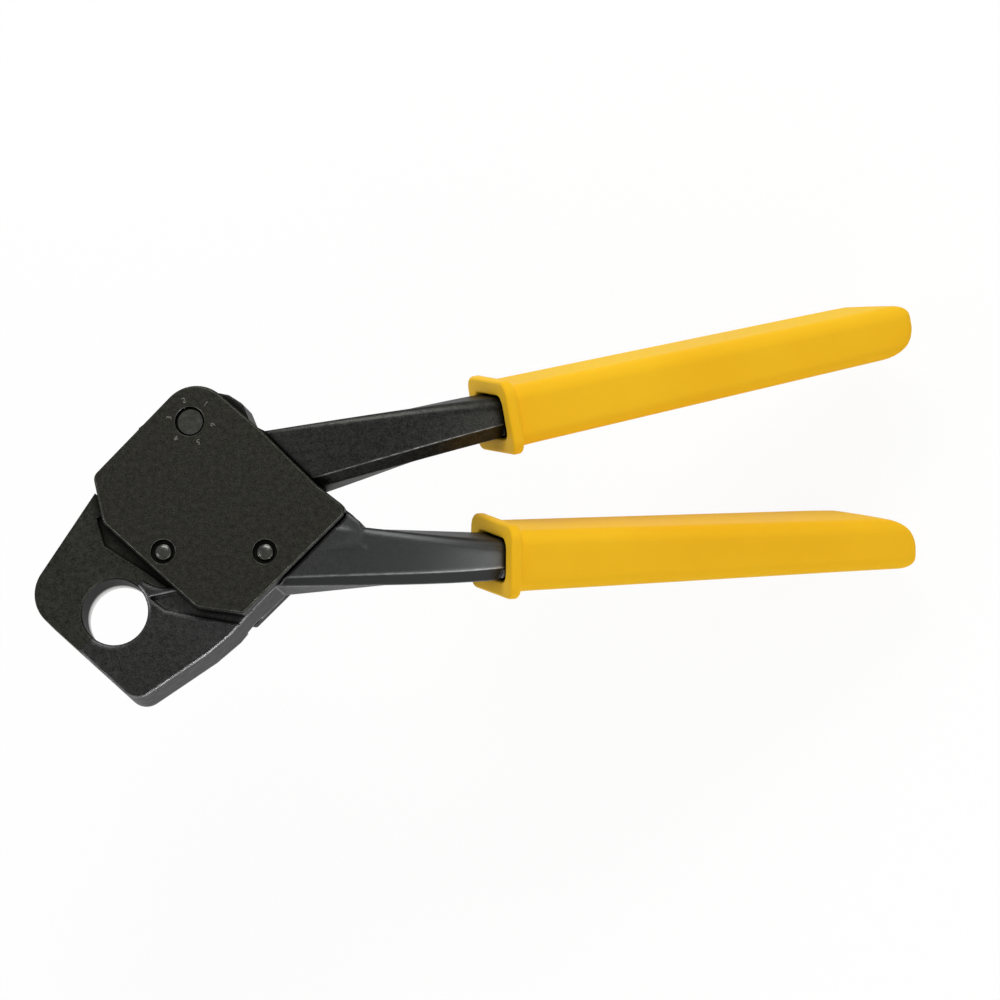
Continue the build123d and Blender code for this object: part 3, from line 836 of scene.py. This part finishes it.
def ring_quads(rows, columns):
    """Four-sided faces between neighbouring closed rings, wound to face outwards."""
    row, column = np.meshgrid(np.arange(rows - 1), np.arange(columns), indexing="ij")
    here = row * columns + column
    beside = row * columns + (column + 1) % columns
    return np.stack([here, beside, beside + columns, here + columns], axis=-1).reshape(-1, 4)


def fan(base, columns, tip):
    """Triangles from the ring that starts at base to a tip point."""
    now = np.arange(columns)
    return np.stack([base + now, base + (now + 1) % columns, np.full(columns, tip)], axis=-1)


def smooth_piece(name, points, faces, material, body):
    """A smooth object at the origin, of points in millimetres, that rides on a body."""
    mesh = bpy.data.meshes.new(name)
    mesh.from_pydata((points * mm).tolist(), [], faces)
    mesh.shade_smooth()
    mesh.materials.append(material)
    piece = bpy.data.objects.new(name, mesh)
    bpy.context.scene.collection.objects.link(piece)
    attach(piece, body)
    print(name, "has", len(mesh.polygons), "faces")
    return piece


print("a ring of 4 closes with", len(fan(0, 4, 4)), "triangles")

# %% [markdown]
# A grip's axis follows its arm's last stretch: a heading in the head's plane, a drop below it, and the
# roll that the arm has taken on its way.

# %% Two grips


def grip_frame(heading, drop):
    """Top, front and axis directions of a grip, from its heading and drop in degrees."""
    heading, drop = radians(heading), radians(drop)
    axis = np.array([cos(drop) * cos(heading), cos(drop) * sin(heading), -sin(drop)])
    level = np.cross([0, 0, 1], axis)
    level = level / np.linalg.norm(level)
    top = level * cos(arm_roll) + np.cross(axis, level) * sin(arm_roll)
    return top, np.cross(axis, top), axis


def make_grip(node, body, mouth, heading, drop, inner_side):
    """The skin of a grip, with its mouth at a place in mm, instead of the node's plain solid."""
    u, v, w = grip_surface(inner_side)
    top, front, axis = grip_frame(heading, drop)
    points = np.array(mouth) + u[..., None] * top + v[..., None] * front + w[..., None] * axis
    rows, columns = u.shape
    points = points.reshape(-1, 3)
    first, last = points[:columns].mean(axis=0), points[-columns:].mean(axis=0)
    start = fan(0, columns, rows * columns)[:, [1, 0, 2]]
    end = fan((rows - 1) * columns, columns, rows * columns + 1)
    faces = ring_quads(rows, columns).tolist() + start.tolist() + end.tolist()
    points = np.vstack([points, first, last])
    piece = smooth_piece(node + "_skin", points, faces, vinyl, body)
    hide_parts(node)


make_grip("upper_grip", "upper_handle_body", (97.3, 55.2, -13.25), 18.0, 26.0, -1)
make_grip("lower_grip", "lower_handle", (98.3, 16.85, -12.0), 8.5, 31.0, 1)

# %% [markdown]
# Each pin's end is peened: hammered to a low dome that fills its counterbore's middle and holds the plate.

# %% Peened ends
dome_rows, dome_columns = 14, 56
dome_radius, dome_foot, dome_sunk = 2.25, 0.3, 0.02
ripple_height = 0.12


def peened_end(name, centre, foot, top):
    """A dome over a disc: at a share s of the radius its height is the full height times 1 - s^3, a flat
    middle that rolls off to a steep rim. A ripple of a few hundredths is left by the hammer."""
    share = np.linspace(1, 0, dome_rows)[:-1, None]
    turn = np.linspace(0, 2 * pi, dome_columns, endpoint=False)[None, :]
    ripple = ripple_height * np.sin(3 * turn + 1.1) * share * (1 - share)
    height = foot + (top - foot) * (1 - share**3 + ripple)
    x = centre[0] + dome_radius * share * np.cos(turn)
    y = centre[1] + dome_radius * share * np.sin(turn)
    points = np.vstack([np.stack([x, y, height], axis=-1).reshape(-1, 3), (*centre, top)])
    last_ring = (dome_rows - 2) * dome_columns
    quads, tip = ring_quads(dome_rows - 1, dome_columns), fan(last_ring, dome_columns, len(points) - 1)
    if top < foot:
        quads, tip = quads[:, ::-1], tip[:, ::-1]
    smooth_piece(name, points, quads.tolist() + tip.tolist(), pin_steel, "lower_handle")


head_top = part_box("front_plate")[1].z / mm - dome_sunk
head_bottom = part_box("back_plate")[0].z / mm + dome_sunk
for node in ("jaw_pin", "lever_rivet"):
    low_corner, high_corner = (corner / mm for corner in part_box(node))
    centre = ((low_corner.x + high_corner.x) / 2, (low_corner.y + high_corner.y) / 2)
    peened_end(f"{node}_front_dome", centre, high_corner.z - dome_foot, head_top)
    peened_end(f"{node}_back_dome", centre, low_corner.z + dome_foot, head_bottom)
print("domes between", round(head_bottom, 2), "and", round(head_top, 2))

# %% [markdown]
# Round the adjuster, small numbers are stamped in the plate, to read the setting by. Stamping pushes the
# steel up and leaves the number brighter than the plate. Text is turned to a mesh, then placed.

# %% Number steel
number_steel = oxide_steel(
    "stamped number", (0.2, 0.195, 0.17), (0.3, 0.3, 0.3), roughness=0.45, fine_cells=6000.0,
    bump_mm=0.01, edge_mm=0.1, soften_mm=0.1,
)
print("numbers are", number_steel.name)

# %% Adjuster numbers
number_radius, number_height, number_proud = 6.0 * mm, 2.1 * mm, 0.03 * mm
first_angle, angle_step = 50, 60
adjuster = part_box("adjuster_pin")
adjuster_place = ((adjuster[0] + adjuster[1]) / 2).to_2d()
plate_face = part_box("front_plate")[1].z


def number_mesh(digit):
    """A digit as a mesh round the origin, its text object gone again."""
    text = bpy.data.curves.new("number", "FONT")
    text.body = str(digit)
    text.size = number_height
    text.align_x = text.align_y = "CENTER"
    text.extrude = number_proud
    text.resolution_u = 3
    holder = bpy.data.objects.new("number", text)
    bpy.context.scene.collection.objects.link(holder)
    mesh = bpy.data.meshes.new_from_object(holder)
    bpy.data.objects.remove(holder)
    mesh.materials.clear()
    mesh.materials.append(number_steel)
    return mesh


for count in range(6):
    angle = radians(first_angle + angle_step * count)
    x, y = adjuster_place + number_radius * Vector((cos(angle), sin(angle)))
    mesh = number_mesh(count + 1)
    mesh.transform(Matrix.Translation((x, y, plate_face)) @ Matrix.Rotation(angle - pi / 2, 4, "Z"))
    piece = bpy.data.objects.new(f"adjuster_number_{count + 1}", mesh)
    bpy.context.scene.collection.objects.link(piece)
    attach(piece, "lower_handle")
print("numbers round", [round(part / mm, 2) for part in adjuster_place])
